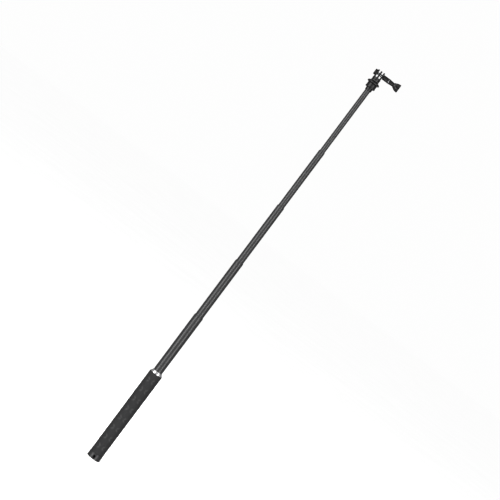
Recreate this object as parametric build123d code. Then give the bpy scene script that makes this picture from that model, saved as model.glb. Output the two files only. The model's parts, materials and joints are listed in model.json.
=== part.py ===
from build123d import *
import os

# Telescopic camera pole. Millimetres, +Z along the pole, origin at the centre of the
# butt's flat face, +X along the thumb screw, pole fully extended.

# ---------------------------------------------------------------- driving dimensions
# Handle
BUTT_R = 14.0
BUTT_HEIGHT = 11.0
BUTT_EDGE_ROUND = 0.9
BUTT_TOP_ROUND = 0.5
SPIGOT_HEIGHT = 6.0
LANYARD_SLOT_WIDTH = 4.6
LANYARD_SLOT_HEIGHT = 6.4
LANYARD_SLOT_CORNER = 1.4
LANYARD_SLOT_Z = 5.2
LANYARD_SLOT_DEPTH = 10.0
LANYARD_HOLE_WIDTH = 4.4
LANYARD_HOLE_LENGTH = 5.8
LANYARD_BAR = 4.0
HANDLE_TUBE_R = 11.25
HANDLE_BORE_R = 10.25
GRIP_R = 13.6
GRIP_TOP_Z = 201.0
COLLAR_TOP_Z = 206.5
COLLAR_BASE_R = 13.3
COLLAR_LIP = 0.35
COLLAR_SPIGOT = 10.0
COLLAR_CLEARANCE = 0.1

# Telescoping tubes, widest first
FIRST_TUBE_R = 9.5
TUBE_R_STEP = 1.05
TUBE_WALL = 0.75
SHOWN_LENGTHS = [131.8, 129.6, 130.85, 130.05, 143.2]
LAST_TUBE_LENGTH = 159.0
LENGTH_STEP = 7.0
STAGES = len(SHOWN_LENGTHS)

# Guide bushes in the mouths of the handle and of tubes 1 to 4
RUNNING_GAP = 0.04
NOSE_HEIGHT = 2.5
NOSE_LIP = 0.35

# Twist locks, measured down from the bottom end of their tube
PLUG_INSERT = 6.0
PLUG_FLANGE = 0.8
FACE_GAP = 0.05
SLEEVE_DEPTH = 6.0
SLEEVE_WALL = 1.3
SLEEVE_SLIT = 1.2
CONE_TOP_DEPTH = 2.65
CONE_TAPER = 1.2
CONE_GAP = 0.02
KEY_GAP = 0.1
LOCK_SCREW_R = 1.5
LOCK_SCREW_CLEARANCE = 0.7
LOCK_HEAD_R = 2.8
LOCK_HEAD_TOP = 6.4
LOCK_HEAD_THICKNESS = 0.9
LOCK_SCREW_IN_PLUG = 5.0

# Head
FERRULE_FOOT_R = 6.15
FERRULE_STEP_R = 6.5
FERRULE_STEP_HEIGHT = 1.2
FERRULE_NECK_R = 6.85
FERRULE_HEIGHT = 6.05
FERRULE_SHANK = 8.0
LAST_TUBE_IN_FERRULE = 9.0
BODY_FOOT_R = 8.85
BODY_BEAD_R = 10.15
BODY_BEAD_LOW = 0.9
BODY_BEAD_HIGH = 2.25
BODY_R = 9.7
BODY_LOW = 3.1
BODY_HEIGHT = 9.25
BODY_CHAMFER = 0.5
STUD_R = 3.175
STUD_CLEARANCE = 0.08
STUD_FOOT_IN_FERRULE = 4.0
STUD_END_GAP = 0.3
JAM_GAP = 0.1
JAM_HEIGHT = 6.65
JAM_FOOT_R = 9.8
JAM_RIM_R = 12.8
JAM_RIM_LOW = 1.6
JAM_RIM_HIGH = 3.5
JAM_RIM_CHAMFER = 0.4
JAM_SHOULDER_R = 9.9
JAM_SHOULDER_HEIGHT = 5.7
JAM_TOP_R = 8.25
JAM_NECK_HEIGHT = 6.45
WASHER_R = 8.2
WASHER_HEIGHT = 1.7
WASHER_CLEARANCE = 0.3
WASHER_CHAMFER = 0.4

# Three-finger mount and its thumb screw
PIVOT_ABOVE_SLOT = 7.7
NECK_R = 8.2
NECK_FLANGE_HEIGHT = 0.9
NECK_GROOVE_R = 7.8
NECK_GROOVE_HEIGHT = 2.2
NECK_CHAMFER = 0.2
NECK_BASE_HEIGHT = 6.4
NECK_TOP_STEP = 0.4
FINGER_THICKNESS = 3.0
FINGER_GAP = 3.1
FINGER_TIP_R = 7.5
INSERT_R = 4.75
INSERT_HEIGHT = 3.9
BOSS_R = 5.7
BOSS_HEIGHT = 4.2
PIVOT_HOLE_R = 2.6
NUT_FLATS = 8.0
NUT_THICKNESS = 4.0
NUT_BORE_R = 2.55
SCREW_R = 2.5
KNOB_BARREL_R = 4.7
KNOB_BARREL_CHAMFER = 0.5
KNOB_START_X = 7.8
KNOB_RING_X = 22.0
KNOB_RING_WIDTH = 1.3
KNOB_RING_R = 4.95
KNOB_RING_BORE_R = 3.4
KNOB_FLARE_X = 32.5
KNOB_FLARE_STATIONS = [(36.1, 6.2), (38.2, 7.4), (41.2, 8.3)]
KNOB_RIM_SLOPE = 0.1
KNOB_END_X = 45.4
KNOB_END_R = 8.7
KNOB_END_EDGE = 0.8
KNOB_END_ROUND = 0.6
KNOB_LOBES = 5
KNOB_TURN = 8
KNOB_FLUTE_R = 4.6
KNOB_FLUTE_OFFSET = 10.1
KNOB_FLUTE_TILT = 4

# ---------------------------------------------------------------- worked-out places
tube_r = [FIRST_TUBE_R - TUBE_R_STEP * i for i in range(STAGES)]
bore_r = [HANDLE_BORE_R] + [r - TUBE_WALL for r in tube_r]
tube_length = [LAST_TUBE_LENGTH + LENGTH_STEP * (STAGES - 1 - i) for i in range(STAGES)]
mouth_z = [COLLAR_TOP_Z + sum(SHOWN_LENGTHS[:i]) for i in range(STAGES + 1)]
foot_z = [mouth_z[i + 1] - tube_length[i] for i in range(STAGES)]
stop_z = [foot - PLUG_FLANGE for foot in foot_z]

ferrule_z = mouth_z[STAGES]
body_z = ferrule_z + FERRULE_HEIGHT
jam_z = body_z + BODY_HEIGHT + JAM_GAP
washer_z = jam_z + JAM_HEIGHT + FACE_GAP
mount_z = washer_z + WASHER_HEIGHT
slot_floor_z = mount_z + NECK_BASE_HEIGHT
pivot_z = slot_floor_z + PIVOT_ABOVE_SLOT
finger_pitch = FINGER_THICKNESS + FINGER_GAP
mount_half_width = finger_pitch + FINGER_THICKNESS / 2


def turned(*corners):
    """Solid of revolution about Z; corners are (radius, height) pairs in order."""
    outline = Polyline(*[(r, 0, z) for r, z in corners], close=True)
    return revolve(make_face(outline), Axis.Z)


def disc(radius, low, high):
    """Solid cylinder on Z between two heights."""
    return Pos(0, 0, low) * Cylinder(radius, high - low, align=(Align.CENTER, Align.CENTER, Align.MIN))


def ring(outer, inner, low, high):
    """Tube on Z between two heights."""
    return disc(outer, low, high) - disc(inner, low, high)


def along_x(shape, x, z):
    """Turns a shape made on +Z so that it points along +X from (x, 0, z)."""
    return Pos(x, 0, z) * Rot(0, 90, 0) * shape


def save(name, shape):
    shape.label = name
    export_step(shape, f"parts/{name}.step")


# ---------------------------------------------------------------- handle
def end_cap():
    """Butt cap; the cord slot in its side turns down into a hole in its flat face."""
    cap = disc(BUTT_R, 0, BUTT_HEIGHT)
    cap = fillet(cap.edges().group_by(Axis.Z)[0], BUTT_EDGE_ROUND)
    cap = fillet(cap.edges().group_by(Axis.Z)[-1], BUTT_TOP_ROUND)
    cap += disc(HANDLE_BORE_R, BUTT_HEIGHT / 2, BUTT_HEIGHT + SPIGOT_HEIGHT)
    outline = RectangleRounded(LANYARD_SLOT_WIDTH, LANYARD_SLOT_HEIGHT, LANYARD_SLOT_CORNER)
    slot = extrude(Plane.XZ * outline, BUTT_R)
    cap -= Pos(0, LANYARD_SLOT_DEPTH - BUTT_R, LANYARD_SLOT_Z) * slot
    outline = RectangleRounded(LANYARD_HOLE_WIDTH, LANYARD_HOLE_LENGTH, LANYARD_SLOT_CORNER)
    hole = extrude(outline, LANYARD_SLOT_Z)
    return cap - Pos(0, LANYARD_BAR + LANYARD_HOLE_LENGTH / 2 - BUTT_R, 0) * hole


def collar():
    foot = GRIP_TOP_Z - COLLAR_SPIGOT
    bore = FIRST_TUBE_R + COLLAR_CLEARANCE
    return turned(
        (bore, foot), (HANDLE_BORE_R, foot), (HANDLE_BORE_R, GRIP_TOP_Z), (COLLAR_BASE_R, GRIP_TOP_Z),
        (bore + COLLAR_LIP, COLLAR_TOP_Z), (bore, COLLAR_TOP_Z),
    )


def handle_bush():
    return ring(HANDLE_BORE_R, FIRST_TUBE_R + RUNNING_GAP, stop_z[0], GRIP_TOP_Z - COLLAR_SPIGOT)


# ---------------------------------------------------------------- telescoping stages
def tube(i):
    is_last = i == STAGES - 1
    top = mouth_z[i + 1] + (LAST_TUBE_IN_FERRULE if is_last else -NOSE_HEIGHT)
    return ring(tube_r[i], bore_r[i + 1], foot_z[i], top)


def guide_bush(i):
    """Liner in the mouth of tube i with a tapered nose; the next tube runs in it."""
    inner = tube_r[i + 1] + RUNNING_GAP
    top = mouth_z[i + 1]
    return turned(
        (inner, stop_z[i + 1]), (bore_r[i + 1], stop_z[i + 1]), (bore_r[i + 1], top - NOSE_HEIGHT),
        (tube_r[i], top - NOSE_HEIGHT), (inner + NOSE_LIP, top), (inner, top),
    )


def lock_plug(i):
    """Plug fixed in the foot of tube i; its flange carries the lock."""
    plug = disc(bore_r[i + 1], foot_z[i], foot_z[i] + PLUG_INSERT)
    plug += disc(tube_r[i], foot_z[i] - PLUG_FLANGE, foot_z[i])
    hole_top = foot_z[i] + LOCK_SCREW_IN_PLUG
    return plug - disc(LOCK_SCREW_R, foot_z[i] - PLUG_FLANGE, hole_top)


def cone_seat(i, gap):
    """Cone shared by the sleeve's seat and the expander, the latter smaller by gap."""
    low_r = bore_r[i] - RUNNING_GAP - SLEEVE_WALL - gap
    low = foot_z[i] - SLEEVE_DEPTH
    high = foot_z[i] - CONE_TOP_DEPTH
    return turned((0, low), (low_r, low), (low_r - CONE_TAPER, high), (0, high))


def lock_sleeve(i):
    """Slit sleeve that the expander cone presses against the bore of the outer tube."""
    low = foot_z[i] - SLEEVE_DEPTH
    high = foot_z[i] - PLUG_FLANGE - FACE_GAP
    outer = bore_r[i] - RUNNING_GAP
    sleeve = ring(outer, LOCK_SCREW_R + LOCK_SCREW_CLEARANCE, low, high) - cone_seat(i, 0)
    slit = Pos(outer, 0, (low + high) / 2) * Box(2 * outer, SLEEVE_SLIT, high - low)
    return sleeve - slit


def lock_cone(i):
    """Expander cone on the screw, kept from turning by a key in the sleeve's slit."""
    key_end = bore_r[i] - 2 * SLEEVE_WALL / 3
    low = foot_z[i] - SLEEVE_DEPTH
    high = foot_z[i] - CONE_TOP_DEPTH
    key = Pos(key_end / 2, 0, (low + high) / 2) * Box(key_end, SLEEVE_SLIT - 2 * KEY_GAP, high - low)
    return cone_seat(i, CONE_GAP) + key - disc(LOCK_SCREW_R + FACE_GAP, low, high)


def lock_screw(i):
    head_top = foot_z[i] - LOCK_HEAD_TOP
    head = disc(LOCK_HEAD_R, head_top - LOCK_HEAD_THICKNESS, head_top)
    return head + disc(LOCK_SCREW_R, head_top, foot_z[i] + LOCK_SCREW_IN_PLUG)


# ---------------------------------------------------------------- head
def head_ferrule():
    """Cone glued on tube 5, with a shank that carries the head body and the stud."""
    top = body_z + FERRULE_SHANK
    ferrule = turned(
        (0, ferrule_z), (FERRULE_FOOT_R, ferrule_z), (FERRULE_STEP_R, ferrule_z + FERRULE_STEP_HEIGHT),
        (FERRULE_NECK_R, body_z), (FERRULE_NECK_R, top), (0, top),
    )
    ferrule -= disc(tube_r[-1], ferrule_z, ferrule_z + LAST_TUBE_IN_FERRULE)
    return ferrule - disc(STUD_R, top - STUD_FOOT_IN_FERRULE, top)


def head_body():
    top = body_z + BODY_HEIGHT
    outer = turned(
        (0, body_z), (BODY_FOOT_R, body_z), (BODY_BEAD_R, body_z + BODY_BEAD_LOW),
        (BODY_BEAD_R, body_z + BODY_BEAD_HIGH), (BODY_R, body_z + BODY_LOW),
        (BODY_R, top - BODY_CHAMFER), (BODY_R - BODY_CHAMFER, top), (0, top),
    )
    return outer - disc(FERRULE_NECK_R, body_z, body_z + FERRULE_SHANK) - disc(STUD_R, body_z, top)


def swivel_stud():
    foot = body_z + FERRULE_SHANK - STUD_FOOT_IN_FERRULE
    return disc(STUD_R, foot, mount_z + INSERT_HEIGHT - STUD_END_GAP)


def jam_ring():
    """Lock nut with a wedge-shaped flange, between the head body and the finger mount."""
    bore = STUD_R + STUD_CLEARANCE
    rim_low = jam_z + JAM_RIM_LOW
    rim_high = jam_z + JAM_RIM_HIGH
    top = jam_z + JAM_HEIGHT
    return turned(
        (bore, jam_z), (JAM_FOOT_R, jam_z), (JAM_RIM_R - JAM_RIM_CHAMFER, rim_low - JAM_RIM_CHAMFER),
        (JAM_RIM_R, rim_low), (JAM_RIM_R, rim_high),
        (JAM_RIM_R - JAM_RIM_CHAMFER, rim_high + JAM_RIM_CHAMFER),
        (JAM_SHOULDER_R, jam_z + JAM_SHOULDER_HEIGHT), (JAM_TOP_R, jam_z + JAM_NECK_HEIGHT),
        (JAM_TOP_R, top), (bore, top),
    )


def swivel_washer():
    washer = ring(WASHER_R, STUD_R + WASHER_CLEARANCE, washer_z, mount_z)
    rims = washer.edges().filter_by(GeomType.CIRCLE).sort_by(SortBy.LENGTH)[-2:]
    return chamfer(rims, WASHER_CHAMFER)


def finger(x):
    """One finger of the mount: a plate across X with a round tip about the pivot."""
    width = 2 * FINGER_TIP_R
    plate = Pos(x, 0, (slot_floor_z + pivot_z) / 2) * Box(FINGER_THICKNESS, width, pivot_z - slot_floor_z)
    tip = Cylinder(FINGER_TIP_R, FINGER_THICKNESS)
    return plate + along_x(tip, x, pivot_z)


def hexagon(flats, length):
    """Hexagonal bar on +Z from 0 with a flat across its X side."""
    return extrude(RegularPolygon(flats / 2, 6, major_radius=False), length)


def finger_mount():
    flange_z = mount_z + NECK_FLANGE_HEIGHT
    groove_z = mount_z + NECK_GROOVE_HEIGHT
    top_r = NECK_R - NECK_TOP_STEP
    mount = turned(
        (0, mount_z), (NECK_R, mount_z), (NECK_R, flange_z), (NECK_GROOVE_R, flange_z + NECK_CHAMFER),
        (NECK_GROOVE_R, groove_z - NECK_CHAMFER), (NECK_R, groove_z),
        (NECK_R, slot_floor_z - 2 * NECK_TOP_STEP), (top_r, slot_floor_z - NECK_TOP_STEP),
        (top_r, slot_floor_z), (0, slot_floor_z),
    )
    for side in (-1, 0, 1):
        mount += finger(side * finger_pitch)
    boss = Cylinder(BOSS_R, BOSS_HEIGHT, align=(Align.CENTER, Align.CENTER, Align.MIN))
    mount += along_x(boss, -mount_half_width - BOSS_HEIGHT, pivot_z)
    pocket = hexagon(NUT_FLATS, NUT_THICKNESS)
    mount -= along_x(pocket, -mount_half_width - BOSS_HEIGHT, pivot_z)
    mount -= along_x(Cylinder(PIVOT_HOLE_R, 4 * mount_half_width), 0, pivot_z)
    return mount - disc(INSERT_R, mount_z, mount_z + INSERT_HEIGHT)


def thread_insert():
    return ring(INSERT_R, STUD_R + FACE_GAP, mount_z, mount_z + INSERT_HEIGHT)


def captive_nut():
    nut = hexagon(NUT_FLATS, NUT_THICKNESS) - Cylinder(NUT_BORE_R, 3 * NUT_THICKNESS)
    return along_x(nut, -mount_half_width - BOSS_HEIGHT, pivot_z)


def thumb_bolt():
    foot = -mount_half_width - BOSS_HEIGHT
    length = KNOB_RING_X - foot
    bolt = Cylinder(SCREW_R, length, align=(Align.CENTER, Align.CENTER, Align.MIN))
    return along_x(bolt, foot, pivot_z)


def knob_ring():
    band = ring(KNOB_RING_R, KNOB_RING_BORE_R, KNOB_RING_X - KNOB_RING_WIDTH, KNOB_RING_X)
    return along_x(band, 0, pivot_z)


def thumb_knob():
    """Barrel with a flared, fluted end, moulded on the bolt, with a seat for the ring."""
    ring_low = KNOB_RING_X - KNOB_RING_WIDTH
    flare = KNOB_END_X - KNOB_FLARE_X
    foot = (KNOB_BARREL_R, 0, KNOB_FLARE_X)
    rim = (KNOB_END_R, 0, KNOB_END_X - KNOB_END_EDGE)
    stations = [(radius, 0, x) for x, radius in KNOB_FLARE_STATIONS]
    swell = Spline(foot, *stations, rim, tangents=[(0, 0, 1), (KNOB_RIM_SLOPE, 0, 1)])
    rest = Polyline(
        rim, (KNOB_END_R - KNOB_END_ROUND, 0, KNOB_END_X), (0, 0, KNOB_END_X), (0, 0, KNOB_START_X),
        (KNOB_BARREL_R - KNOB_BARREL_CHAMFER, 0, KNOB_START_X),
        (KNOB_BARREL_R, 0, KNOB_START_X + KNOB_BARREL_CHAMFER), foot,
    )
    knob = revolve(make_face([swell, rest]), Axis.Z)
    flute = Cylinder(KNOB_FLUTE_R, 2 * flare, align=(Align.CENTER, Align.CENTER, Align.MIN))
    flute = Pos(KNOB_FLUTE_OFFSET, 0, KNOB_FLARE_X) * Rot(0, KNOB_FLUTE_TILT, 0) * flute
    for lobe in range(KNOB_LOBES):
        knob -= Rot(0, 0, KNOB_TURN + 360 * (lobe + 0.5) / KNOB_LOBES) * flute
    knob -= disc(SCREW_R, KNOB_START_X, KNOB_RING_X)
    knob -= ring(KNOB_RING_R, KNOB_RING_BORE_R, ring_low, KNOB_RING_X)
    return along_x(knob, 0, pivot_z)


# ---------------------------------------------------------------- write the nodes
os.makedirs("parts", exist_ok=True)

save("end_cap", end_cap())
save("handle_tube", ring(HANDLE_TUBE_R, HANDLE_BORE_R, BUTT_HEIGHT, GRIP_TOP_Z))
save("grip", ring(GRIP_R, HANDLE_TUBE_R, BUTT_HEIGHT, GRIP_TOP_Z))
save("collar", collar())
save("handle_bush", handle_bush())

for i in range(STAGES):
    number = i + 1
    save(f"tube_{number}", tube(i))
    save(f"lock_plug_{number}", lock_plug(i))
    save(f"lock_screw_{number}", lock_screw(i))
    save(f"lock_sleeve_{number}", lock_sleeve(i))
    save(f"lock_cone_{number}", lock_cone(i))
    if number < STAGES:
        save(f"guide_bush_{number}", guide_bush(i))

save("head_ferrule", head_ferrule())
save("head_body", head_body())
save("swivel_stud", swivel_stud())
save("jam_ring", jam_ring())
save("swivel_washer", swivel_washer())
save("finger_mount", finger_mount())
save("thread_insert", thread_insert())
save("captive_nut", captive_nut())
save("thumb_bolt", thumb_bolt())
save("thumb_knob", thumb_knob())
save("knob_ring", knob_ring())
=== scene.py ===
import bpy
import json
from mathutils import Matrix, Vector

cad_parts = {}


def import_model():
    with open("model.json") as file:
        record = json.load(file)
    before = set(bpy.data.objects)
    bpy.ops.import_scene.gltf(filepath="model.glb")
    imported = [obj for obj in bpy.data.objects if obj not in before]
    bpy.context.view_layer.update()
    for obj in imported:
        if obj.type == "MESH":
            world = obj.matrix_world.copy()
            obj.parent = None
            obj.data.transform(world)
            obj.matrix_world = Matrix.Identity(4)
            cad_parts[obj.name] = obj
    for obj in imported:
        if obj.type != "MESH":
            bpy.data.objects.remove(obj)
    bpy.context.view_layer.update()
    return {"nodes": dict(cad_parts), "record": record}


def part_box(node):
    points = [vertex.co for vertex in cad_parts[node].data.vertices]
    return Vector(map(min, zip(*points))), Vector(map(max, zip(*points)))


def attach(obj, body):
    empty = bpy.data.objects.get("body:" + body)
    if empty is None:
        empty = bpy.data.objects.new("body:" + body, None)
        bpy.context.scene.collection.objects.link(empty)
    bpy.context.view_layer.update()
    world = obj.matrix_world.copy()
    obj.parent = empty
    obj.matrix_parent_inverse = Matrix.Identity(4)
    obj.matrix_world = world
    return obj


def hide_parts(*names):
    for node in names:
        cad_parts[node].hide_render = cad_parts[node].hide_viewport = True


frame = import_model()

import json
import math

import bmesh
import bpy
from mathutils import Matrix, Vector

MM = 0.001
STAGES = 5
AROUND = 128
OUTLINE_POINTS = 96
SHARP_ANGLE = math.radians(38)
LONGEST_REACH = 0.49
ON_AXIS = 1e-7
ALMOST_NONE = 1e-6
WELD_DISTANCE = 1e-6

# roundings of turned edges and corners
HAIRLINE = 0.1 * MM
CRISP = 0.15 * MM
FINE = 0.2 * MM
EASED = 0.3 * MM
BROAD = 0.4 * MM
SOFT = 0.5 * MM


# ------------------------------------------------------------------ places from the frame
def low(node):
    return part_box(node)[0]


def high(node):
    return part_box(node)[1]


def radius(node):
    return high(node).y


# ------------------------------------------------------------------ mesh helpers
def softened(corners, steps=5):
    """Outline with rounded corners; corners are (across, along, rounding)."""
    points = []
    count = len(corners)
    for i, (x, y, rounding) in enumerate(corners):
        here = Vector((x, y))
        if rounding <= 0:
            points.append(here)
            continue
        before = Vector(corners[i - 1][:2]) - here
        after = Vector(corners[(i + 1) % count][:2]) - here
        half = before.angle(after) / 2
        shortest = min(LONGEST_REACH * before.length, LONGEST_REACH * after.length)
        reach = min(rounding / math.tan(half), shortest)
        inwards = (before.normalized() + after.normalized()).normalized()
        middle = here + inwards * reach / math.cos(half)
        first = here + before.normalized() * reach - middle
        last = here + after.normalized() * reach - middle
        for k in range(steps + 1):
            turned = first.normalized().slerp(last.normalized(), k / steps)
            points.append(middle + first.length * turned)
    return points


def circle_angles(count=AROUND):
    return [2 * math.pi * k / count for k in range(count)]


def lathe(profile, relief=None, around=AROUND):
    """Turned mesh about Z from a closed (radius, height) outline.
    relief(angle, radius, height) gives how far a point is sunk below the outline."""
    mesh = bmesh.new()
    rings = []
    for r, z in profile:
        if r < ON_AXIS:
            rings.append([mesh.verts.new((0, 0, z))])
            continue
        ring = []
        for a in circle_angles(around):
            sunk = r - (relief(a, r, z) if relief else 0)
            ring.append(mesh.verts.new((sunk * math.cos(a), sunk * math.sin(a), z)))
        rings.append(ring)
    for one, other in zip(rings, rings[1:] + rings[:1]):
        if len(one) == 1 and len(other) == 1:
            continue
        for k in range(around):
            n = (k + 1) % around
            corners = [one[k % len(one)], one[n % len(one)]]
            corners += [other[n % len(other)], other[k % len(other)]]
            mesh.faces.new(dict.fromkeys(corners))
    bmesh.ops.recalc_face_normals(mesh, faces=mesh.faces)
    return mesh


def loft(loops, closed):
    """Mesh through loops of equally many points; closed joins the last loop to the first."""
    mesh = bmesh.new()
    rings = [[mesh.verts.new(p) for p in loop] for loop in loops]
    pairs = list(zip(rings, rings[1:]))
    if closed:
        pairs.append((rings[-1], rings[0]))
    for one, other in pairs:
        for k in range(len(one)):
            n = (k + 1) % len(one)
            mesh.faces.new((one[k], one[n], other[n], other[k]))
    if not closed:
        mesh.faces.new(rings[0])
        mesh.faces.new(rings[-1])
    bmesh.ops.recalc_face_normals(mesh, faces=mesh.faces)
    return mesh


def inset(outline, distance):
    """Closed outline moved inwards (anticlockwise order) by a distance."""
    moved = []
    for i, here in enumerate(outline):
        along = (outline[(i + 1) % len(outline)] - outline[i - 1]).normalized()
        moved.append(here + Vector((-along.y, along.x)) * distance)
    return moved


SLAB_EDGE_STEPS = 4


def slab(outer, inner, start, end, edge):
    """Plate across X from start to end, with a hole of outline inner and rounded outer edges."""
    sections = []
    for k in range(SLAB_EDGE_STEPS + 1):
        a = math.pi / 2 * k / SLAB_EDGE_STEPS
        sections.append((start + edge * (1 - math.sin(a)), inset(outer, edge * (1 - math.cos(a)))))
    sections.reverse()
    mirrored = [(start + end - x, line) for x, line in reversed(sections)]
    ring = [(start, inner)] + sections + mirrored + [(end, inner)]
    loops = [[(x, p.x, p.y) for p in line] for x, line in ring]
    return loft(loops, closed=True)


def polar(count, reach):
    """Anticlockwise outline whose distance from the middle at each angle is reach(angle)."""
    return [Vector((math.cos(a), math.sin(a))) * reach(a) for a in circle_angles(count)]


def to_object(name, mesh):
    """Makes a smooth-shaded object of a bmesh, with its hard edges kept sharp."""
    for face in mesh.faces:
        face.smooth = True
    for edge in mesh.edges:
        edge.smooth = edge.is_manifold and edge.calc_face_angle(0) < SHARP_ANGLE
    data = bpy.data.meshes.new(name)
    mesh.to_mesh(data)
    mesh.free()
    made = bpy.data.objects.new(name, data)
    bpy.context.scene.collection.objects.link(made)
    return made


def cut(target, tool, operation):
    """Applies a boolean to target with tool, and removes tool."""
    modifier = target.modifiers.new(operation, "BOOLEAN")
    modifier.object = tool
    modifier.operation = operation
    modifier.solver = "EXACT"
    shape = target.evaluated_get(bpy.context.evaluated_depsgraph_get())
    mesh = bmesh.new()
    mesh.from_mesh(bpy.data.meshes.new_from_object(shape))
    bmesh.ops.remove_doubles(mesh, verts=mesh.verts, dist=WELD_DISTANCE)
    name = target.name
    bpy.data.objects.remove(target)
    bpy.data.objects.remove(tool)
    return to_object(name, mesh)


# ------------------------------------------------------------------ material helpers
class Graph:
    """Short names for building a material's nodes."""

    def __init__(self, name):
        self.material = bpy.data.materials.new(name)
        self.material.use_nodes = True
        self.tree = self.material.node_tree
        self.shader = self.tree.nodes["Principled BSDF"]
        self.place = self.add("ShaderNodeTexCoord").outputs["Object"]

    def add(self, kind, **settings):
        node = self.tree.nodes.new(kind)
        for key, value in settings.items():
            setattr(node, key, value)
        return node

    def link(self, source, target):
        self.tree.links.new(source, target)

    def stretched(self, scale):
        mapping = self.add("ShaderNodeMapping")
        mapping.inputs["Scale"].default_value = scale
        self.link(self.place, mapping.inputs["Vector"])
        return mapping.outputs["Vector"]

    def noise(self, scale, detail=3.0, stretch=(1, 1, 1), roughness=0.55):
        node = self.add("ShaderNodeTexNoise")
        node.inputs["Scale"].default_value = scale
        node.inputs["Detail"].default_value = detail
        node.inputs["Roughness"].default_value = roughness
        self.link(self.stretched(stretch), node.inputs["Vector"])
        return node.outputs["Fac"]

    def cells(self, scale):
        node = self.add("ShaderNodeTexVoronoi")
        node.inputs["Scale"].default_value = scale
        self.link(self.place, node.inputs["Vector"])
        return node.outputs["Distance"]

    def between(self, fac, low_value, high_value, start=0.3, end=0.7):
        """Value that goes from low_value to high_value as fac goes from start to end."""
        node = self.add("ShaderNodeMapRange", clamp=True)
        node.inputs["From Min"].default_value = start
        node.inputs["From Max"].default_value = end
        node.inputs["To Min"].default_value = low_value
        node.inputs["To Max"].default_value = high_value
        self.link(fac, node.inputs["Value"])
        return node.outputs["Result"]

    def blend(self, fac, first, second):
        node = self.add("ShaderNodeMix", data_type="RGBA")
        for socket, value in ((6, first), (7, second)):
            if isinstance(value, tuple):
                node.inputs[socket].default_value = (*value, 1)
            else:
                self.link(value, node.inputs[socket])
        self.link(fac, node.inputs["Factor"])
        return node.outputs[2]

    def maths(self, operation, first, second):
        node = self.add("ShaderNodeMath", operation=operation)
        for i, value in enumerate((first, second)):
            if isinstance(value, (int, float)):
                node.inputs[i].default_value = value
            else:
                self.link(value, node.inputs[i])
        return node.outputs[0]

    def bump(self, height, depth, previous=None):
        node = self.add("ShaderNodeBump")
        node.inputs["Distance"].default_value = depth
        self.link(height, node.inputs["Height"])
        if previous:
            self.link(previous, node.inputs["Normal"])
        return node.outputs["Normal"]

    def set(self, name, value):
        if isinstance(value, (int, float)):
            self.shader.inputs[name].default_value = value
        else:
            self.link(value, self.shader.inputs[name])


def grey(level):
    return (level, level, level * 1.02)


def plastic(name, base, rough, grain=0.00002, wear=0.06, shine=0.5):
    """Moulded plastic: cloudy colour, fine moulding grain, edges rubbed a little paler."""
    g = Graph(name)
    darkest, palest = grey(base * 0.82), grey(base * 1.2)
    colour = g.blend(g.between(g.noise(scale=90, detail=4), 0, 1), darkest, palest)
    pointed = g.add("ShaderNodeNewGeometry").outputs["Pointiness"]
    edge = g.between(pointed, 0, 1, start=0.52, end=0.6)
    rubbed = g.maths("MULTIPLY", edge, g.between(g.noise(scale=700, detail=5), 0.25, 1))
    g.set("Base Color", g.blend(g.maths("MULTIPLY", rubbed, 0.5), colour, grey(wear)))
    g.set("Roughness", g.between(g.noise(scale=260, detail=5), rough - 0.05, rough + 0.07))
    pits = g.bump(g.cells(scale=2600), depth=grain)
    g.set("Normal", g.bump(g.noise(scale=1500, detail=3), depth=grain * 0.4, previous=pits))
    g.set("Specular IOR Level", shine)
    return g.material


def coated_tube(name, base, rough):
    """Satin anodised tube: faint drawing lines along Z, dust-fine grain, a few slide marks."""
    g = Graph(name)
    lines = g.noise(scale=60, detail=5, stretch=(14, 14, 0.25))
    cloud = g.noise(scale=25, detail=3)
    mixed = g.maths("ADD", g.maths("MULTIPLY", lines, 0.6), g.maths("MULTIPLY", cloud, 0.4))
    g.set("Base Color", g.blend(g.between(mixed, 0, 1), grey(base * 0.85), grey(base * 1.15)))
    scratches = g.noise(scale=40, detail=4, stretch=(30, 30, 0.6))
    marks = g.between(scratches, 0, 0.07, start=0.62, end=0.75)
    g.set("Roughness", g.maths("SUBTRACT", g.between(cloud, rough, rough + 0.06), marks))
    drawn = g.bump(lines, depth=0.000004)
    g.set("Normal", g.bump(g.noise(scale=2200, detail=2), depth=0.000006, previous=drawn))
    return g.material


def turned_metal(name, colour, rough, pitch=900.0):
    """Metal turned on a lathe: fine rings across Z and a little staining."""
    g = Graph(name)
    rings = g.noise(scale=pitch, detail=2, stretch=(0.02, 0.02, 1))
    stain = g.noise(scale=70, detail=4)
    darker = tuple(0.86 * c for c in colour)
    g.set("Base Color", g.blend(g.between(stain, 0, 1), darker, colour))
    g.set("Roughness", g.between(rings, rough - 0.03, rough + 0.05))
    g.set("Normal", g.bump(rings, depth=0.000004))
    g.set("Metallic", 1.0)
    return g.material


PAD_SHINE = 0.2
RIB_SHINE = 0.26


def grip_rubber(name, base):
    """Moulded rubber: dead matt, speckled pads between smoother diamond ribs."""
    g = Graph(name)
    rib = g.add("ShaderNodeAttribute", attribute_name="rib").outputs["Fac"]
    cloud = g.noise(scale=55, detail=4)
    speck = g.noise(scale=1500, detail=4, roughness=0.7)
    rib_tone = g.blend(g.between(cloud, 0, 1), grey(base * 0.8), grey(base * 0.9))
    pad_tone = g.blend(g.between(speck, 0, 1), grey(base * 0.85), grey(base * 1.2))
    g.set("Base Color", g.blend(rib, pad_tone, rib_tone))
    smoothing = g.maths("MULTIPLY", rib, g.between(cloud, 0.62, 0.54))
    g.set("Roughness", g.maths("SUBTRACT", g.between(speck, 0.92, 1.0), smoothing))
    g.set("Specular IOR Level", g.between(rib, PAD_SHINE, RIB_SHINE, start=0, end=1))
    dots = g.maths("MULTIPLY", g.cells(scale=1700), g.maths("SUBTRACT", 1, rib))
    fine = g.bump(g.noise(scale=2600, detail=3), depth=0.00001)
    g.set("Normal", g.bump(dots, depth=0.00022, previous=fine))
    return g.material


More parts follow.
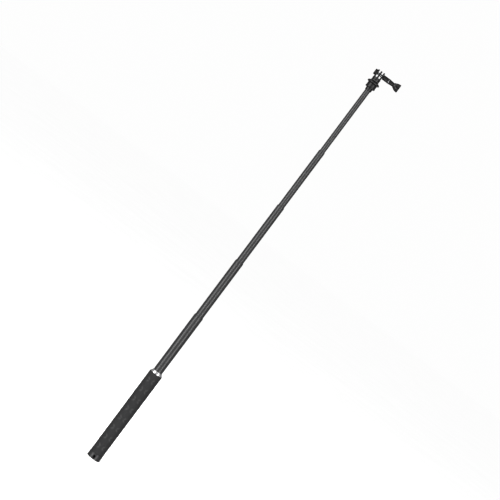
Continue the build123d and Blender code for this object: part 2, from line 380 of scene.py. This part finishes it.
def nylon(name, colour, rough):
    """Natural nylon with a waxy skin."""
    g = Graph(name)
    cloud = g.noise(scale=150, detail=3)
    darker = tuple(0.9 * c for c in colour)
    g.set("Base Color", g.blend(g.between(cloud, 0, 1), darker, colour))
    g.set("Roughness", g.between(g.noise(scale=500, detail=3), rough - 0.05, rough + 0.08))
    g.set("Normal", g.bump(g.noise(scale=900, detail=3), depth=0.00001))
    return g.material


def pale_floor(name):
    """Matt white floor that is clear when seen from below, so that it doesn't hide the butt."""
    g = Graph(name)
    cloud = g.between(g.noise(scale=3, detail=3), 0, 1)
    g.set("Base Color", g.blend(cloud, (0.985, 0.985, 0.985), (1, 1, 1)))
    g.set("Roughness", g.between(g.noise(scale=14, detail=3), 0.75, 0.85))
    g.set("Specular IOR Level", 0.0)
    below = g.add("ShaderNodeNewGeometry").outputs["Backfacing"]
    clear = g.add("ShaderNodeBsdfTransparent").outputs["BSDF"]
    mixed = g.add("ShaderNodeMixShader")
    g.link(below, mixed.inputs["Fac"])
    g.link(g.shader.outputs["BSDF"], mixed.inputs[1])
    g.link(clear, mixed.inputs[2])
    g.link(mixed.outputs["Shader"], g.tree.nodes["Material Output"].inputs["Surface"])
    return g.material


POLISHED_ALUMINIUM = (0.86, 0.86, 0.87)
RAW_ALUMINIUM = (0.6, 0.6, 0.61)
STEEL = (0.37, 0.38, 0.39)
BRASS = (0.72, 0.53, 0.26)
IVORY_NYLON = (0.72, 0.71, 0.66)
materials = {
    "grip_rubber": grip_rubber("grip_rubber", base=0.03),
    "butt_plastic": plastic("butt_plastic", base=0.025, rough=0.38, grain=0.000008, shine=0.38),
    "tube_black": coated_tube("tube_black", base=0.027, rough=0.34),
    "raw_aluminium": turned_metal("raw_aluminium", RAW_ALUMINIUM, rough=0.4),
    "polished_aluminium": turned_metal("polished_aluminium", POLISHED_ALUMINIUM, rough=0.27),
    "head_plastic": plastic("head_plastic", base=0.009, rough=0.38, grain=0.000005, shine=0.44),
    "bush_nylon": plastic("bush_nylon", base=0.026, rough=0.4, grain=0.00001),
    "lock_nylon": nylon("lock_nylon", IVORY_NYLON, rough=0.45),
    "washer_grey": plastic("washer_grey", base=0.035, rough=0.5, wear=0.05),
    "insert_brass": turned_metal("insert_brass", BRASS, rough=0.3),
    "steel": turned_metal("steel", STEEL, rough=0.32, pitch=1500),
}


def place(piece, body, slot, *nodes):
    """Gives a piece its finish, and lets it stand for CAD nodes on a body."""
    piece.data.materials.clear()
    piece.data.materials.append(materials[slot])
    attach(piece, body)
    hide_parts(*nodes)
    return piece


def turned_piece(name, node, body, slot, corners):
    """Turned piece that stands for one node; corners are (radius, height, rounding)."""
    return place(to_object(name, lathe(softened(corners))), body, slot, node)


# ------------------------------------------------------------------ handle
CAP_EDGE = 0.9 * MM
CAP_EDGE_STEPS = 6
CAP_SEAM = 0.5 * MM
SLOT_HALF_WIDTH = 2.3 * MM
SLOT_HALF_HEIGHT = 3.2 * MM
SLOT_CORNER = 1.4 * MM
SLOT_Z = 5.2 * MM
SLOT_DEPTH = 10.0 * MM
SLOT_LEAD_IN = 0.5 * MM
HOLE_HALF_WIDTH = 2.2 * MM
HOLE_HALF_LENGTH = 2.9 * MM
CORD_BAR = 4.0 * MM
CORNER_POINTS = 48
LEAD_IN_DEPTH = 0.45 * MM
CUTTER_OVERSHOOT = 1.0 * MM
HANDLE_WALL = 1.0 * MM
SPIGOT_EDGE = 0.3 * MM


def rounded_box(half_width, half_height, corner):
    """Points round a rectangle with rounded corners, as (across, up) about its middle."""
    points = []
    for a in circle_angles(CORNER_POINTS):
        side = math.copysign(half_width - corner, math.cos(a))
        lift = math.copysign(half_height - corner, math.sin(a))
        points.append((side + corner * math.cos(a), lift + corner * math.sin(a)))
    return points


def slot_cutter(reach):
    """Bar from the front of the cap inwards, with rounded corners and a lead-in at the wall."""
    loops = []
    outside = -reach - CUTTER_OVERSHOOT
    for y, grow in ((outside, SLOT_LEAD_IN), (LEAD_IN_DEPTH - reach, 0), (SLOT_DEPTH - reach, 0)):
        section = rounded_box(SLOT_HALF_WIDTH + grow, SLOT_HALF_HEIGHT + grow, SLOT_CORNER + grow)
        loops.append([(x, y, SLOT_Z + z) for x, z in section])
    return loft(loops, closed=False)


def hole_cutter(reach):
    """Bar from the cap's flat face up into the slot."""
    loops = []
    middle = CORD_BAR + HOLE_HALF_LENGTH - reach
    for z, grow in ((-CUTTER_OVERSHOOT, SLOT_LEAD_IN), (LEAD_IN_DEPTH, 0), (SLOT_Z, 0)):
        section = rounded_box(HOLE_HALF_WIDTH + grow, HOLE_HALF_LENGTH + grow, SLOT_CORNER + grow)
        loops.append([(x, middle + y, z) for x, y in section])
    return loft(loops, closed=False)


def end_cap():
    top = low("grip").z
    shoulder = radius("end_cap")
    spigot = high("end_cap").z
    inside = radius("handle_tube") - HANDLE_WALL
    cap = to_object("end_cap_shell", lathe(softened([
        (0, 0, 0), (shoulder, 0, CAP_EDGE), (shoulder, top, CAP_SEAM), (inside, top, 0),
        (inside, spigot, SPIGOT_EDGE), (0, spigot, 0),
    ], CAP_EDGE_STEPS)))
    cap = cut(cap, to_object("slot_cutter", slot_cutter(shoulder)), "DIFFERENCE")
    cap = cut(cap, to_object("hole_cutter", hole_cutter(shoulder)), "DIFFERENCE")
    return place(cap, "handle", "butt_plastic", "end_cap")


DIAMONDS_AROUND = 2
DIAMOND_HEIGHT = 22.5 * MM
FIRST_CROSSING_Z = 27.5 * MM
RIB_HALF_WIDTH = 1.3 * MM
RIB_SLOPE = 0.7 * MM
PAD_DEPTH = 0.24 * MM
RIB_PROUD = 0.28 * MM
BAND_TOP = 9.0 * MM
BAND_FOOT = 2.2 * MM
GRIP_EDGE = 0.5 * MM
GRIP_ROWS = 420
GRIP_AROUND = 208


def ease(value, start, end):
    """0 up to start, 1 from end on, and a smooth change between them."""
    t = min(max((value - start) / (end - start), 0.0), 1.0)
    return t * t * (3 - 2 * t)


grip_r = radius("grip")
grip_foot = low("grip").z
grip_top = high("grip").z


def rib_share(angle, z):
    """1 on a rib, 0 in the middle of a diamond pad."""
    diamond_width = 2 * math.pi * grip_r / DIAMONDS_AROUND
    across = grip_r * (angle + math.pi / 2) / diamond_width
    along = (z - FIRST_CROSSING_Z) / DIAMOND_HEIGHT
    spacing = 1 / math.hypot(1 / diamond_width, 1 / DIAMOND_HEIGHT)
    share = 1.0
    for phase in (along + across, along - across):
        distance = abs(phase - round(phase)) * spacing
        share *= ease(distance, RIB_HALF_WIDTH, RIB_HALF_WIDTH + RIB_SLOPE)
    return 1 - share


def band_share(z):
    """1 on the plain bands at the grip's ends, 0 between them."""
    inside = ease(grip_top - z, BAND_TOP, BAND_TOP + RIB_SLOPE)
    return 1 - inside * ease(z - grip_foot, BAND_FOOT, BAND_FOOT + RIB_SLOPE)


def grip():
    bore = radius("handle_tube")
    first, last = grip_foot + GRIP_EDGE, grip_top - GRIP_EDGE
    rows = [first + (last - first) * k / GRIP_ROWS for k in range(GRIP_ROWS + 1)]
    profile = [Vector((bore, grip_foot)), Vector((grip_r - GRIP_EDGE, grip_foot))]
    profile += [Vector((grip_r, z)) for z in rows]
    profile += [Vector((grip_r - GRIP_EDGE, grip_top)), Vector((bore, grip_top))]

    def relief(angle, r, z):
        if r < grip_r - GRIP_EDGE / 2:
            return 0
        pad = PAD_DEPTH * (1 - rib_share(angle, z))
        return (pad - RIB_PROUD) * (1 - band_share(z))

    piece = to_object("grip_sleeve", lathe(profile, relief, GRIP_AROUND))
    rib = piece.data.attributes.new("rib", "FLOAT", "POINT")
    shares = []
    for vertex in piece.data.vertices:
        x, y, z = vertex.co
        shares.append(rib_share(math.atan2(y, x), z) * (1 - band_share(z)))
    rib.data.foreach_set("value", shares)
    return place(piece, "handle", "grip_rubber", "grip")


COLLAR_GAP = 0.1 * MM
COLLAR_LIP = 0.35 * MM
COLLAR_BAND_HEIGHT = 0.9 * MM
COLLAR_BAND_TAPER = 0.25 * MM
COLLAR_EDGE = 0.35 * MM
COLLAR_BORE_EDGE = 0.08 * MM


def collar():
    foot, top = low("collar").z, high("collar").z
    base_z = high("grip").z
    base_r = radius("collar")
    spigot_r = radius("handle_bush")
    bore = radius("tube_1") + COLLAR_GAP
    lip = bore + COLLAR_LIP
    turned_piece("collar_ring", "collar", "handle", "polished_aluminium", [
        (bore, foot, 0), (spigot_r, foot, FINE), (spigot_r, base_z, 0),
        (base_r, base_z, COLLAR_EDGE),
        (base_r - COLLAR_BAND_TAPER, base_z + COLLAR_BAND_HEIGHT, BROAD),
        (lip, top, CRISP), (bore, top, COLLAR_BORE_EDGE),
    ])


# ------------------------------------------------------------------ telescoping tubes
WALL = 0.75 * MM
TUBE_EDGE = 0.12 * MM
RUNNING_GAP = 0.04 * MM
NOSE_HEIGHT = 2.5 * MM
NOSE_BAND_HEIGHT = 0.5 * MM
NOSE_BAND_TAPER = 0.1 * MM
NOSE_LIP = 0.35 * MM


def tube(k):
    node = f"tube_{k}"
    outer = radius(node)
    inner = outer - WALL
    foot, top = low(node).z, high(node).z
    turned_piece(f"{node}_shell", node, f"stage_{k}", "tube_black", [
        (inner, foot, CRISP), (outer, foot, CRISP),
        (outer, top, TUBE_EDGE), (inner, top, HAIRLINE),
    ])


def guide_bush(k):
    node = f"guide_bush_{k}"
    outer = radius(node)
    liner = outer - WALL
    inner = radius(f"tube_{k + 1}") + RUNNING_GAP
    foot, top = low(node).z, high(node).z
    seat = top - NOSE_HEIGHT
    turned_piece(f"{node}_ring", node, f"stage_{k}", "bush_nylon", [
        (inner, foot, 0), (liner, foot, 0), (liner, seat, 0), (outer, seat, HAIRLINE),
        (outer - NOSE_BAND_TAPER, seat + NOSE_BAND_HEIGHT, EASED),
        (inner + NOSE_LIP, top, CRISP), (inner, top, 0),
    ])


# ------------------------------------------------------------------ head
FERRULE_LIP = 0.85 * MM
FERRULE_STEP = 1.2 * MM
FERRULE_STEP_HEIGHT = 1.2 * MM
FERRULE_BEND = 0.8 * MM


def head_ferrule():
    foot, top = low("head_ferrule").z, high("head_ferrule").z
    neck = radius("head_ferrule")
    cone_top = low("head_body").z
    stud = radius("swivel_stud")
    stud_z = low("swivel_stud").z
    tube_r = radius("tube_5")
    tube_z = high("tube_5").z
    turned_piece("ferrule_cone", "head_ferrule", "stage_5", "head_plastic", [
        (tube_r, foot, HAIRLINE), (tube_r + FERRULE_LIP, foot, EASED),
        (tube_r + FERRULE_STEP, foot + FERRULE_STEP_HEIGHT, FERRULE_BEND), (neck, cone_top, EASED),
        (neck, top, 0), (stud, top, 0), (stud, stud_z, 0), (0, stud_z, 0),
        (0, tube_z, 0), (tube_r, tube_z, 0),
    ])


BODY_FOOT_INSET = 1.3 * MM
BEAD_PROUD = 0.45 * MM
BEAD_LOW = 0.9 * MM
BEAD_HIGH = 2.25 * MM
BARREL_LOW = 3.1 * MM


def head_body():
    foot, top = low("head_body").z, high("head_body").z
    bead = radius("head_body")
    wall = bead - BEAD_PROUD
    neck = radius("head_ferrule")
    roof = high("head_ferrule").z
    stud = radius("swivel_stud")
    turned_piece("head_barrel", "head_body", "stage_5", "head_plastic", [
        (neck, foot, HAIRLINE), (bead - BODY_FOOT_INSET, foot, EASED),
        (bead, foot + BEAD_LOW, SOFT), (bead, foot + BEAD_HIGH, SOFT),
        (wall, foot + BARREL_LOW, SOFT), (wall, top, SOFT),
        (stud, top, 0), (stud, roof, 0), (neck, roof, 0),
    ])


JAM_BORE_GAP = 0.08 * MM
JAM_NECK_GAP = 0.05 * MM
JAM_FOOT_INSET = 3.0 * MM
JAM_LOWER_EDGE = (0.3 * MM, 1.3 * MM)
JAM_RIM_LOW = 1.8 * MM
JAM_RIM_HIGH = 3.4 * MM
JAM_UPPER_EDGE = (0.5 * MM, 4.0 * MM)
JAM_SHOULDER = (1.6 * MM, 5.7 * MM)
JAM_NECK_LOW = 6.4 * MM


def jam_ring():
    """Flanged ring; each edge is given by its inset or overhang and its height."""
    foot, top = low("jam_ring").z, high("jam_ring").z
    rim = radius("jam_ring")
    bore = radius("swivel_stud") + JAM_BORE_GAP
    neck = radius("swivel_washer") + JAM_NECK_GAP
    turned_piece("jam_flange", "jam_ring", "jam_ring", "head_plastic", [
        (bore, foot, 0), (rim - JAM_FOOT_INSET, foot, EASED),
        (rim - JAM_LOWER_EDGE[0], foot + JAM_LOWER_EDGE[1], SOFT),
        (rim, foot + JAM_RIM_LOW, EASED), (rim, foot + JAM_RIM_HIGH, EASED),
        (rim - JAM_UPPER_EDGE[0], foot + JAM_UPPER_EDGE[1], SOFT),
        (neck + JAM_SHOULDER[0], foot + JAM_SHOULDER[1], SOFT),
        (neck, foot + JAM_NECK_LOW, EASED), (neck, top, HAIRLINE), (bore, top, 0),
    ])


WASHER_BORE_GAP = 0.3 * MM
WASHER_EDGE = 0.45 * MM


def swivel_washer():
    foot, top = low("swivel_washer").z, high("swivel_washer").z
    rim = radius("swivel_washer")
    bore = radius("swivel_stud") + WASHER_BORE_GAP
    turned_piece("friction_washer", "swivel_washer", "mount", "washer_grey", [
        (bore, foot, 0), (rim, foot, WASHER_EDGE), (rim, top, WASHER_EDGE), (bore, top, 0),
    ])


MOUNT_NECK_R = 8.2 * MM
MOUNT_FLANGE_HEIGHT = 0.9 * MM
GROOVE_R = 7.8 * MM
GROOVE_LOW = 1.1 * MM
GROOVE_HIGH = 2.0 * MM
GROOVE_END = 2.2 * MM
BASE_BEVEL_LOW = 0.9 * MM
BASE_BEVEL_HIGH = 0.5 * MM
BASE_BEVEL_INSET = 0.5 * MM
SLOT_FLOOR_ABOVE_FOOT = 6.4 * MM
FINGER_THICKNESS = 3.0 * MM
FINGER_PITCH = 6.1 * MM
FINGER_EDGE = 0.35 * MM
FINGER_TIP_R = 7.5 * MM
FINGER_SINK = 0.9 * MM
PIVOT_HOLE = 2.6 * MM
BOSS_R = 5.7 * MM
BOSS_SINK = 0.3 * MM
BOSS_EDGE = 0.5 * MM
NUT_HALF_FLATS = 4.0 * MM
NUT_GAP = 0.02 * MM
NUT_BORE = 2.55 * MM
NUT_INSET = 0.25 * MM
NUT_EDGE = 0.3 * MM
mount_foot = low("finger_mount").z
slot_floor = mount_foot + SLOT_FLOOR_ABOVE_FOOT
pivot_z = high("finger_mount").z - FINGER_TIP_R


def hexagon_reach(angle, half_flats):
    """Distance from the middle to the side of a hexagon with flats facing +-Y."""
    turn = (angle + math.pi / 6) % (math.pi / 3) - math.pi / 6
    return half_flats / math.cos(turn)


def finger_reach(angle):
    """Distance from the pivot to the outline of a finger: round above, square below."""
    up, across = math.sin(angle), math.cos(angle)
    if up >= 0:
        return FINGER_TIP_R
    depth = pivot_z - slot_floor + FINGER_SINK
    return min(FINGER_TIP_R / max(abs(across), ALMOST_NONE), depth / max(-up, ALMOST_NONE))


def at_pivot(outline):
    """Outline moved up so that its middle is at the pivot."""
    return [Vector((p.x, p.y + pivot_z)) for p in outline]


def finger_mount():
    insert = radius("thread_insert")
    insert_top = high("thread_insert").z
    bevel = MOUNT_NECK_R - BASE_BEVEL_INSET
    mount = to_object("finger_mount_body", lathe(softened([
        (insert, mount_foot, CRISP), (MOUNT_NECK_R, mount_foot, FINE),
        (MOUNT_NECK_R, mount_foot + MOUNT_FLANGE_HEIGHT, CRISP),
        (GROOVE_R, mount_foot + GROOVE_LOW, HAIRLINE), (GROOVE_R, mount_foot + GROOVE_HIGH, HAIRLINE),
        (MOUNT_NECK_R, mount_foot + GROOVE_END, CRISP),
        (MOUNT_NECK_R, slot_floor - BASE_BEVEL_LOW, BROAD),
        (bevel, slot_floor - BASE_BEVEL_HIGH, FINE), (bevel, slot_floor, FINE),
        (0, slot_floor, 0), (0, insert_top, 0), (insert, insert_top, 0),
    ])))
    outline = at_pivot(polar(OUTLINE_POINTS, finger_reach))
    hole = at_pivot(polar(OUTLINE_POINTS, lambda a: PIVOT_HOLE))
    for side in (-1, 0, 1):
        middle = side * FINGER_PITCH
        half = FINGER_THICKNESS / 2
        finger = to_object("finger", slab(outline, hole, middle - half, middle + half, FINGER_EDGE))
        mount = cut(mount, finger, "UNION")
    boss_end = low("finger_mount").x
    boss_start = -FINGER_PITCH - FINGER_THICKNESS / 2 + BOSS_SINK
    rim = at_pivot(polar(OUTLINE_POINTS, lambda a: BOSS_R))
    pocket = at_pivot(polar(OUTLINE_POINTS, lambda a: hexagon_reach(a, NUT_HALF_FLATS)))
    boss = to_object("boss", slab(rim, pocket, boss_end, boss_start, BOSS_EDGE))
    mount = cut(mount, boss, "UNION")
    return place(mount, "mount", "head_plastic", "finger_mount")


def captive_nut():
    start, end = low("captive_nut").x, high("captive_nut").x
    sides = at_pivot(polar(OUTLINE_POINTS, lambda a: hexagon_reach(a, NUT_HALF_FLATS - NUT_GAP)))
    bore = at_pivot(polar(OUTLINE_POINTS, lambda a: NUT_BORE))
    nut = to_object("hex_nut", slab(sides, bore, start + NUT_INSET, end, NUT_EDGE))
    return place(nut, "mount", "steel", "captive_nut")


def along_x(mesh):
    """Turns a mesh made about +Z so that it points along +X through the pivot."""
    mesh.transform(Matrix.Translation((0, 0, pivot_z)) @ Matrix.Rotation(math.pi / 2, 4, "Y"))
    return mesh


KNOB_AROUND = 160
KNOB_LOBES = 5
KNOB_TURN = math.radians(8)
BARREL_R = 4.7 * MM
BARREL_EDGE = 0.6 * MM
BOLT_R = 2.5 * MM
RING_SEAT_R = 3.4 * MM
RING_SEAT_EDGE = 0.12 * MM
RING_EDGE = 0.25 * MM
FLARE_LENGTH = 12.9 * MM
FLARE_BEND = 2.5 * MM
FLARE_START_BEND = 1.5 * MM
FLARE_STEPS = 6
FLARE_SWELL = [(0, 0), (0.15, 0.12), (0.28, 0.38), (0.44, 0.68), (0.67, 0.9), (0.85, 0.97), (1, 1)]
END_R = 8.7 * MM
END_EDGE = 0.9 * MM
END_EDGE_STEPS = 6
END_DISH = ((0.72, 0.05), (0.6, 0.35), (0.5, 0.55), (0.25, 0.6))
FLUTE_R = 4.6 * MM
FLUTE_OFFSET = 10.1 * MM
FLUTE_TILT = math.tan(math.radians(4))
FLUTE_LEAD = 0.5 * MM
FLUTE_BLEND = 0.7 * MM


def smallest(first, second, softness):
    """The smaller of two values, with the change between them eased."""
    h = max(softness - abs(first - second), 0) / softness
    return min(first, second) - h * h * softness / 4


def thumb_knob():
    """Barrel with a seat for the bright ring, flaring into a fluted grip with a dished end."""
    start, end = low("thumb_knob").x, high("thumb_knob").x
    flare = end - FLARE_LENGTH
    seat = low("knob_ring").x, high("knob_ring").x
    bolt_end = high("thumb_bolt").x
    profile = softened([
        (BOLT_R, start, 0), (BARREL_R, start, BARREL_EDGE), (BARREL_R, seat[0], RING_SEAT_EDGE),
        (RING_SEAT_R, seat[0], 0), (RING_SEAT_R, seat[1], 0), (BARREL_R, seat[1], RING_SEAT_EDGE),
    ])
    line = []
    for along, up in FLARE_SWELL:
        x = flare + (FLARE_LENGTH - END_EDGE) * along
        line.append((BARREL_R + (END_R - BARREL_R) * up, x, FLARE_BEND))
    line[0] = (BARREL_R, flare, FLARE_START_BEND)
    line[-1] = (END_R, end - END_EDGE, 0)
    profile += softened([(0, flare, 0)] + line + [(0, end - END_EDGE, 0)], FLARE_STEPS)[1:-1]
    for k in range(1, END_EDGE_STEPS + 1):
        a = math.pi / 2 * k / END_EDGE_STEPS
        inwards, outwards = END_EDGE * (1 - math.cos(a)), END_EDGE * (1 - math.sin(a))
        profile.append(Vector((END_R - inwards, end - outwards)))
    for share, sink in END_DISH:
        profile.append(Vector((END_R * share, end - sink * MM)))
    dish = end - END_DISH[-1][1] * MM
    profile += [Vector((0, dish)), Vector((0, bolt_end)), Vector((BOLT_R, bolt_end))]

    def relief(angle, r, x):
        if x < flare - FLUTE_LEAD:
            return 0
        centre = FLUTE_OFFSET + (x - flare) * FLUTE_TILT
        pitch = 2 * math.pi / KNOB_LOBES
        turn = (angle - KNOB_TURN) % pitch - pitch / 2
        inside = FLUTE_R ** 2 - (centre * math.sin(turn)) ** 2
        edge = math.sqrt(max(inside, 0))
        reach = centre * math.cos(turn) - edge if inside > 0 else 2 * r
        return r - smallest(r, reach, FLUTE_BLEND) if reach < r + FLUTE_BLEND else 0

    knob = to_object("thumb_knob_moulding", along_x(lathe(profile, relief, KNOB_AROUND)))
    return place(knob, "thumb_screw", "head_plastic", "thumb_knob")


def knob_ring():
    start, end = low("knob_ring").x, high("knob_ring").x
    rim = radius("knob_ring")
    mesh = lathe(softened([
        (RING_SEAT_R, start, 0), (rim, start, RING_EDGE), (rim, end, RING_EDGE), (RING_SEAT_R, end, 0),
    ]))
    place(to_object("knob_band", along_x(mesh)), "thumb_screw", "steel", "knob_ring")


def thumb_bolt():
    start, end = low("thumb_bolt").x, high("thumb_bolt").x
    shank = radius("thumb_bolt")
    mesh = lathe(softened([
        (0, start, 0), (shank, start, SOFT), (shank, end, EASED), (0, end, 0),
    ]))
    place(to_object("bolt_shank", along_x(mesh)), "thumb_screw", "steel", "thumb_bolt")


# ------------------------------------------------------------------ make the pieces
slots = {entry["node"]: entry["material_slot"] for entry in frame["record"]["subparts"]}
for node, thing in frame["nodes"].items():
    thing.data.materials.clear()
    thing.data.materials.append(materials[slots[node]])

end_cap()
grip()
collar()
for number in range(1, STAGES + 1):
    tube(number)
    if number < STAGES:
        guide_bush(number)
head_ferrule()
head_body()
jam_ring()
swivel_washer()
finger_mount()
captive_nut()
thumb_knob()
knob_ring()
thumb_bolt()


# ------------------------------------------------------------------ camera, floor and light
AIM_HEIGHT = 0.4968
CAMERA_SIDE = 0.0022
CAMERA_DISTANCE = 3.2
CAMERA_LIFT = 0.084
CAMERA_LENS = 121.3
CAMERA_SENSOR = 36
CAMERA_ROLL = math.radians(36.79)
FLOOR_RADIUS = 30
FLOOR_SIDES = 96
FLOOR_GAP = 0.3 * MM
LIGHT_DISTANCE = 1.6
STRIP_HEIGHT = 3.6
WHITE = 0.99
REFLECTED_ROOM = 0.35
VIEW_GAMMA = 0.75


def camera():
    """Camera level with the pole's middle and a little above it, rolled to lean the pole."""
    data = bpy.data.cameras.new("camera")
    data.lens = CAMERA_LENS
    data.sensor_width = CAMERA_SENSOR
    made = bpy.data.objects.new("camera", data)
    tilt = math.pi / 2 - math.atan2(CAMERA_LIFT, CAMERA_DISTANCE)
    facing = Matrix.Rotation(tilt, 4, "X") @ Matrix.Rotation(CAMERA_ROLL, 4, "Z")
    spot = (CAMERA_SIDE, -CAMERA_DISTANCE, AIM_HEIGHT + CAMERA_LIFT)
    made.matrix_world = Matrix.Translation(spot) @ facing
    bpy.context.scene.collection.objects.link(made)
    bpy.context.scene.camera = made


def floor():
    """Pale floor that the camera sees; the pole itself is lit as if it hung in a white room."""
    mesh = bmesh.new()
    bmesh.ops.create_circle(mesh, cap_ends=True, segments=FLOOR_SIDES, radius=FLOOR_RADIUS)
    bmesh.ops.translate(mesh, verts=mesh.verts, vec=(0, 0, -FLOOR_GAP))
    made = to_object("floor", mesh)
    made.data.materials.append(pale_floor("pale_floor"))
    made.visible_glossy = False
    made.visible_diffuse = False
    made.visible_shadow = False


def softbox(name, azimuth, elevation, width, height, radiance, aim_z=AIM_HEIGHT, spread=180):
    """Soft light facing the pole; azimuth is measured from the camera's side, in degrees."""
    data = bpy.data.lights.new(name, "AREA")
    data.shape = "RECTANGLE"
    data.size = width
    data.size_y = height
    data.spread = math.radians(spread)
    data.energy = radiance * math.pi * width * height
    around, up = math.radians(azimuth), math.radians(elevation)
    level = math.cos(up)
    away = Vector((math.sin(around) * level, -math.cos(around) * level, math.sin(up)))
    made = bpy.data.objects.new(name, data)
    turned = away.to_track_quat("Z", "Y").to_matrix().to_4x4()
    spot = Vector((0, 0, aim_z)) + away * LIGHT_DISTANCE
    made.matrix_world = Matrix.Translation(spot) @ turned
    made.visible_camera = False
    bpy.context.scene.collection.objects.link(made)


def world():
    """White room, which shiny surfaces see dimmed, as between dark flags."""
    made = bpy.data.worlds.new("studio")
    made.use_nodes = True
    nodes, links = made.node_tree.nodes, made.node_tree.links
    rays = nodes.new("ShaderNodeLightPath")
    level = nodes.new("ShaderNodeMapRange")
    level.inputs["To Min"].default_value = WHITE
    level.inputs["To Max"].default_value = REFLECTED_ROOM
    links.new(rays.outputs["Is Glossy Ray"], level.inputs["Value"])
    links.new(level.outputs["Result"], nodes["Background"].inputs["Strength"])
    nodes["Background"].inputs["Color"].default_value = (1, 1, 1, 1)
    bpy.context.scene.world = made


camera()
floor()
world()
collar_top = high("collar").z
finger_tops = high("finger_mount").z
# name, azimuth, elevation, width, height, radiance
softbox("left_strip", -43, 0, 0.7, STRIP_HEIGHT, 8.0)
softbox("right_strip", 40, 0, 0.55, STRIP_HEIGHT, 8.0)
softbox("upper_left", -66, 54, 1.0, 1.0, 0.62, aim_z=collar_top)
softbox("upper_right", 66, 54, 1.0, 1.0, 0.54, aim_z=collar_top)
softbox("front_fill", 4, -30, 0.5, 0.5, 0.15, aim_z=finger_tops, spread=14)
softbox("back_left", -165, 0, 0.3, STRIP_HEIGHT, 1.5)
softbox("back_right", 165, 0, 0.3, STRIP_HEIGHT, 1.5)
view = bpy.context.scene.view_settings
view.view_transform = "Standard"
view.gamma = VIEW_GAMMA
